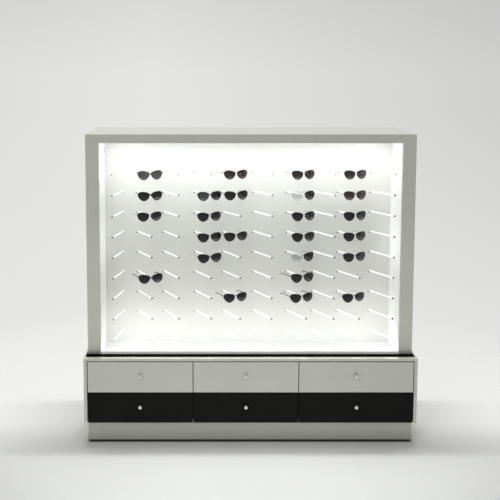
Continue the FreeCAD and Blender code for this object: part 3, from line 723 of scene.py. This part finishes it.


# a pair shades the rod before it, so that this stretch is left clear and only the rest has the painted glow;
# the cap of such a rod is drawn in black nylon, as painted shade
stretches = {"lit": [], "clear": [], "caps": [], "shadedCaps": []}
perRow = len(rods["columns"])
for index, (x, z, yaw) in enumerate(rodPlaces):
    column, row = index % perRow, index // perRow + 1
    hung = stock.get(column, {}).get(row) if row <= rods["rows"] else None
    stand = rodMatrix(x, z, yaw)
    stretches["lit"].append(placed(rodPart(-rods["inPanel"], hung or length), stand))
    stretches["shadedCaps" if hung else "caps"].append(placed(capShape, stand))
    if hung:
        stretches["clear"].append(placed(rodPart(hung + rods["joint"], length), stand))
for name, shapes, finish, slot, stands in (
        ("displayRods", "lit", paintedGlowAcrylic, "clear_rod", ["rods"]),
        ("rodFronts", "clear", clearAcrylic, "clear_rod", ()),
        ("endCaps", "caps", greyAbs, "grey_plastic", ["rod_caps"]),
        ("shadedEndCaps", "shadedCaps", blackNylon, "grey_plastic", ())):
    addPiece(name, meshOf(name, joined(stretches[shapes]), finish), "cabinet", stands)

# a small domed cover on the panel beside each rod's foot hides the fixing screw
cover = {"aside": -0.0045, "below": -0.0055,
         "outline": [(0.0, 0.0024), (0.0018, 0.0023), (0.0032, 0.0017), (0.0040, 0.0009), (0.0042, 0.0),
                     (0.0042, -0.0005)]}
coverShape = placed(turned(cover["outline"], 24), Matrix.Rotation(math.radians(90), 4, "X"))
coverShapes = [placed(coverShape, Matrix.Translation((x + cover["aside"], panelFront, z + cover["below"])))
               for x, z, yaw in rodPlaces]
addPiece("fixingCovers", meshOf("fixingCovers", joined(coverShapes), greyAbs), "cabinet")
print("rods done")


# Sunglasses

glasses = {
    "lensWidth": 0.052, "lensHeight": 0.040, "noseGap": 0.0155, "drop": 0.006, "squareness": 2.2,
    "browLift": 0.0040, "taper": 0.29, "rim": 0.0026, "depth": 0.0040, "wrap": 7, "curve": 0.085,
    "lensThick": 0.0018, "forward": 0.0022, "crease": 50,
    "rimStart": -0.0006, "lensEnd": 0.0002,  # the lens's edge lies a little inside the rim
    "atBrow": 0.15, "atCorner": 0.35,        # parts by which the rim gets wider there
}
lensMiddle = glasses["noseGap"] / 2 + glasses["lensWidth"] / 2


# a point on the lens outline of the right-hand half, grown outwards
def edgePoint(turn, grow):
    a, b = math.cos(turn), math.sin(turn)
    square = squaredReach(a, b, glasses["squareness"])
    wider = grow(a, b) if callable(grow) else grow
    x = a * square * (glasses["lensWidth"] / 2 + wider) * (1 + glasses["taper"] * b)
    y = b * square * (glasses["lensHeight"] / 2 + wider) + glasses["browLift"] * a * max(b, 0)
    return lensMiddle + x, y - glasses["drop"]


def lensEdge(grow, steps=64):
    return [edgePoint(2 * math.pi * i / steps, grow) for i in range(steps)]


# where the outline passes a height, on the outer side or on the nose side
def edgeAt(height, grow, outer):
    points = [p for p in lensEdge(grow, 720) if (p[0] > lensMiddle) == outer]
    return min(points, key=lambda p: abs(p[1] - height))


# lenses and rims lie on one shallow ball, and each half turns back from the nose
def onCurve(x, y, z):
    bulge = ((x - lensMiddle) ** 2 + (y + glasses["drop"]) ** 2) / (2 * glasses["curve"])
    side = Vector((x - glasses["noseGap"] / 2, y, z - bulge + glasses["forward"]))
    side = Matrix.Rotation(math.radians(glasses["wrap"]), 3, "Y") @ side
    return side + Vector((glasses["noseGap"] / 2, 0, 0))


def mirroredShape(shape):
    return [Vector((-p[0], p[1], p[2])) for p in shape[0]], [face[::-1] for face in shape[1]]


# a rim is wider towards the brow, and most of all at its outer corner
def rimWidth(a, b):
    brow = max(b, 0)
    return glasses["rim"] * (1 + glasses["atBrow"] * brow + glasses["atCorner"] * max(a, 0) * brow)


# the rim's section with its rounded edges, as parts of its width and depth
rimSection = [(0.0, 0.22), (0.05, 0.08), (0.18, 0.0), (0.82, 0.0), (0.95, 0.08), (1.0, 0.22),
              (1.0, 0.78), (0.95, 0.92), (0.82, 1.0), (0.18, 1.0), (0.05, 0.92), (0.0, 0.78)]


def rimShape():
    rings = []
    for (x0, y0), (x1, y1) in zip(lensEdge(glasses["rimStart"]), lensEdge(rimWidth)):
        rings.append([onCurve(x0 + (x1 - x0) * u, y0 + (y1 - y0) * u, glasses["depth"] * w)
                      for u, w in rimSection])
    return skinned(rings, looped=True)


def roundedRing(centre, across, up, halfWide, halfHigh, steps=16, squareness=3.2):
    ring = []
    for i in range(steps):
        turn = 2 * math.pi * (i + 0.5) / steps
        a, b = math.cos(turn), math.sin(turn)
        square = squaredReach(a, b, squareness)
        ring.append(centre + across * (a * square * halfWide) + up * (b * square * halfHigh))
    return ring


# towards its ends the bridge sits lower and further back, and is higher
bridge = {"high": 0.0026, "deep": 0.0026, "meetsRimAt": 0.0040, "overRim": 0.5, "rings": 13,
          "lower": 0.0010, "back": 0.0004, "flare": 0.35}


# the bridge rests on the rod and arches over to both rims
def bridgeShape():
    reach = edgeAt(bridge["meetsRimAt"], glasses["rim"] * bridge["overRim"], False)[0]
    rings = []
    for i in range(bridge["rings"]):
        x = reach * (2 * i / (bridge["rings"] - 1) - 1)
        away = (x / reach) ** 2
        middle = rods["radius"] + bridge["high"] / 2 - bridge["lower"] * away
        centre = Vector((x, middle, glasses["forward"] - bridge["back"] * away))
        rings.append(roundedRing(centre, Vector((0, 0, 1)), Vector((0, 1, 0)), bridge["deep"] / 2,
                                 bridge["high"] / 2 * (1 + bridge["flare"] * away)))
    return skinned(rings)


# pairs are for the block's end at the rim and its end at the arm; places count from the corner
block = {"cornerHeight": 0.0033, "x": (-0.0040, 0.0006), "y": (0.0018, 0.0015), "z": (0.0020, 0.0012),
         "halfDeep": (0.0020, 0.0017), "halfHigh": (0.0032, 0.0026), "rings": 5}
cornerX, cornerY = edgeAt(block["cornerHeight"], glasses["rim"], True)


# the block that carries the hinge, from the rim's upper outer corner to the arm
def cornerShape():
    rings = []
    for i in range(block["rings"]):
        t = i / (block["rings"] - 1)
        x, y, z, deep, high = [block[key][0] + (block[key][1] - block[key][0]) * t
                               for key in ("x", "y", "z", "halfDeep", "halfHigh")]
        rings.append(roundedRing(onCurve(cornerX + x, cornerY + y, z), Vector((0, 0, 1)),
                                 Vector((0, 1, 0)), deep, high))
    return skinned(rings)


temple = {
    "thick": 0.0026, "high": 0.005152, "long": 0.118, "step": 0.004, "inwards": 0.00006,
    "hinge": (-0.0012, 0.0015), "start": (0.0004, 0.0002, 0.0024),  # from the corner, and from the hinge
    "bend": (0.085, 0.101), "fall": 27, "thinner": 0.15,  # it turns down over this stretch and gets thinner
    "waist": (0, 0.05), "slimmer": 0.22, "tip": (0.09, 0.12), "swell": 0.16,
    "firstRing": 0.72, "growth": 0.28, "lastRing": 0.35, "shrink": 0.4,  # both ends are rounded off
}


# how much of a stretch lies behind, from 0 to 1
def passed(along, stretch):
    return min(max((along - stretch[0]) / (stretch[1] - stretch[0]), 0), 1)


# an arm runs straight back and then bends down behind the ear, slimmer in the middle than at its ends
def templeShape():
    fall, step = math.radians(temple["fall"]), temple["step"]
    place = onCurve(cornerX + temple["hinge"][0], cornerY + temple["hinge"][1], 0.0)
    place += Vector(temple["start"])
    rings = []
    count = round(temple["long"] / step)
    for i in range(count + 1):
        along = i * step
        bend = passed(along, temple["bend"])
        heading = fall * bend * bend * (3 - 2 * bend)
        slim = (1 - temple["slimmer"] * passed(along, temple["waist"])
                + temple["swell"] * passed(along, temple["tip"]))
        end = (min(1.0, temple["lastRing"] + (count - i) * temple["shrink"])
               * min(1.0, temple["firstRing"] + i * temple["growth"]))
        up = Vector((0, math.cos(heading), -math.sin(heading)))
        rings.append(roundedRing(place.copy(), Vector((1, 0, 0)), up,
                                 temple["thick"] / 2 * (1 - temple["thinner"] * bend) * end,
                                 temple["high"] / 2 * slim * end))
        place += Vector((-temple["inwards"], -math.sin(heading) * step, -math.cos(heading) * step))
    return skinned(rings)


# half sizes are those at the pad's ends and what its swelling adds
nosePad = {"rings": 9, "from": 180, "turn": 40, "overRim": 0.55, "back": 0.0012, "lean": 0.25,
           "swelling": (0.06, 0.88), "halfWide": (0.0003, 0.0011), "halfHigh": (0.0004, 0.0022)}


# the pad is a swelling of the rim's nose side, towards the face
def nosePadShape():
    lean, rings = nosePad["lean"], []
    for i in range(nosePad["rings"]):
        t = i / (nosePad["rings"] - 1)
        size = math.sin(math.pi * (nosePad["swelling"][0] + nosePad["swelling"][1] * t))
        turn = math.radians(nosePad["from"] + nosePad["turn"] * t)
        x, y = edgePoint(turn, glasses["rim"] * nosePad["overRim"])
        wide, high = [nosePad[key][0] + nosePad[key][1] * size for key in ("halfWide", "halfHigh")]
        rings.append(roundedRing(onCurve(x, y, -nosePad["back"]), Vector((1, 0, lean)),
                                 Vector((-lean, 0, 1)), wide, high, squareness=2))
    return skinned(rings)


# rings from the middle of one face out to the edge and back to the middle of the other
def lensShape():
    edge, centreY = lensEdge(glasses["lensEnd"]), -glasses["drop"]
    outwards = [0.01, 0.3, 0.6, 0.85, 1.0]
    rings = []
    for side, order in ((1, outwards), (-1, outwards[::-1])):
        z = glasses["depth"] / 2 + side * glasses["lensThick"] / 2
        for s in order:
            rings.append([onCurve(lensMiddle + (x - lensMiddle) * s, centreY + (y - centreY) * s, z)
                          for x, y in edge])
    return skinned(rings)


crease = glasses["crease"]
half = joined([rimShape(), cornerShape(), nosePadShape()])
blackFront = meshOf("blackFront", joined([bridgeShape(), half, mirroredShape(half)]), blackAcetate, crease)
halfBlackFront = meshOf("halfBlackFront", joined([bridgeShape(), half]), blackAcetate, crease)
clearHalf = meshOf("clearHalf", mirroredShape(half), clearAcetate, crease)
armPair = joined([templeShape(), mirroredShape(templeShape())])
arms = {"black": (meshOf("blackTemples", armPair, blackAcetate, crease), "black_acetate"),
        "clear": (meshOf("clearTemples", armPair, clearAcetate, crease), "clear_rod")}
lensMeshes = {}
for side, shape in (("left", mirroredShape(lensShape())), ("right", lensShape())):
    for tint, finish in lensTints.items():
        lensMeshes[side, tint] = meshOf("%sLens_%s" % (side, tint), shape, finish, crease)

# by column and row, pairs with other lenses than black left and smoke right: both tints
special = {(0, 2): ("grey", "grey"), (3, 2): ("plum", "plum"), (5, 2): ("plum", "plum"),
           (7, 2): ("plum", "plum"), (7, 3): ("plum", "plum"), (2, 3): ("slate", "smoke"),
           (5, 3): ("pale", "smoke"), (5, 6): ("pale", "smoke")}
blackArmed = [(0, 7), (5, 7), (5, 8), (3, 8)]  # these pairs have black arms, the others have clear ones
frameStands, lensStands = ["sunglasses_frames"], ["sunglasses_lenses"]  # the first pair stands for all
for column, rows in stock.items():
    for row, distance in rows.items():
        place = rodMatrix(rods["columns"][column], rowHeight(row), rods["yaw"])
        place = place @ Matrix.Translation((0, 0, distance))
        label = "%d_%d" % (column + 1, row)
        left, right = special.get((column, row), ("black", "smoke"))
        front = halfBlackFront if left == "pale" else blackFront
        addPiece("sunglasses_" + label, front, "cabinet", frameStands, place)
        if left == "pale":
            addPiece("clearHalf_" + label, clearHalf, "cabinet", (), place)
        armMesh, armSlot = arms["black" if (column, row) in blackArmed else "clear"]
        addPiece("temples_" + label, armMesh, "cabinet", (), place)
        addPiece("leftLens_" + label, lensMeshes["left", left], "cabinet", lensStands, place)
        addPiece("rightLens_" + label, lensMeshes["right", right], "cabinet", (), place)
        frameStands, lensStands = (), ()
print("sunglasses done")


# Light from the case's own profiles

glow = {"upperPower": 2.52, "lowerPower": 1.16, "hue": "#FCFEFE", "long": 1.43, "wide": 0.02, "spread": 150,
        "upperBack": 0.05, "upperUnder": 0.014, "upperAim": 0.155,
        "lowerBack": 0.02, "lowerOver": 0.022, "lowerAim": 0.045, "aimBack": 0.10,
        "endPower": 0.045, "endLong": 0.12,  # a little more at the ends, to even out the fall-off there
        "sidePower": 0.14, "sideSize": (0.66, 0.2), "sideIn": 0.06, "sideY": -0.07, "sideHeight": 0.94,
        "sideSpread": 160}                   # a weak light on each side lining
ceilingLow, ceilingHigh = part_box("ceiling_lining")
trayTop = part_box("case_floor")[1].z
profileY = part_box("led_diffusers")[0].y
strips = {
    "upper": (glow["upperPower"], profileY + glow["upperBack"], ceilingLow.z - glow["upperUnder"],
              ceilingLow.z - glow["upperAim"]),
    "lower": (glow["lowerPower"], profileY + glow["lowerBack"], trayTop + glow["lowerOver"],
              trayTop + glow["lowerAim"]),
}
for name, (power, y, z, aimZ) in strips.items():
    aimY = y + glow["aimBack"]
    addLamp(name + "Strip", power, (glow["long"], glow["wide"]), (0, y, z), (0, aimY, aimZ), glow["hue"],
            glow["spread"])
    for side in (-1, 1):
        x = side * (glow["long"] - glow["endLong"]) / 2
        addLamp("%sStripEnd_%d" % (name, side + 2), power * glow["endPower"], (glow["endLong"], glow["wide"]),
                (x, y, z), (x, aimY, aimZ), glow["hue"], glow["spread"])
for side in (-1, 1):
    addLamp("sideGlow_%d" % (side + 2), glow["sidePower"], glow["sideSize"],
            (side * (ceilingHigh.x - glow["sideIn"]), glow["sideY"], glow["sideHeight"]),
            (side * ceilingHigh.x, glow["sideY"], glow["sideHeight"]), glow["hue"], glow["sideSpread"])
print("case lights done")
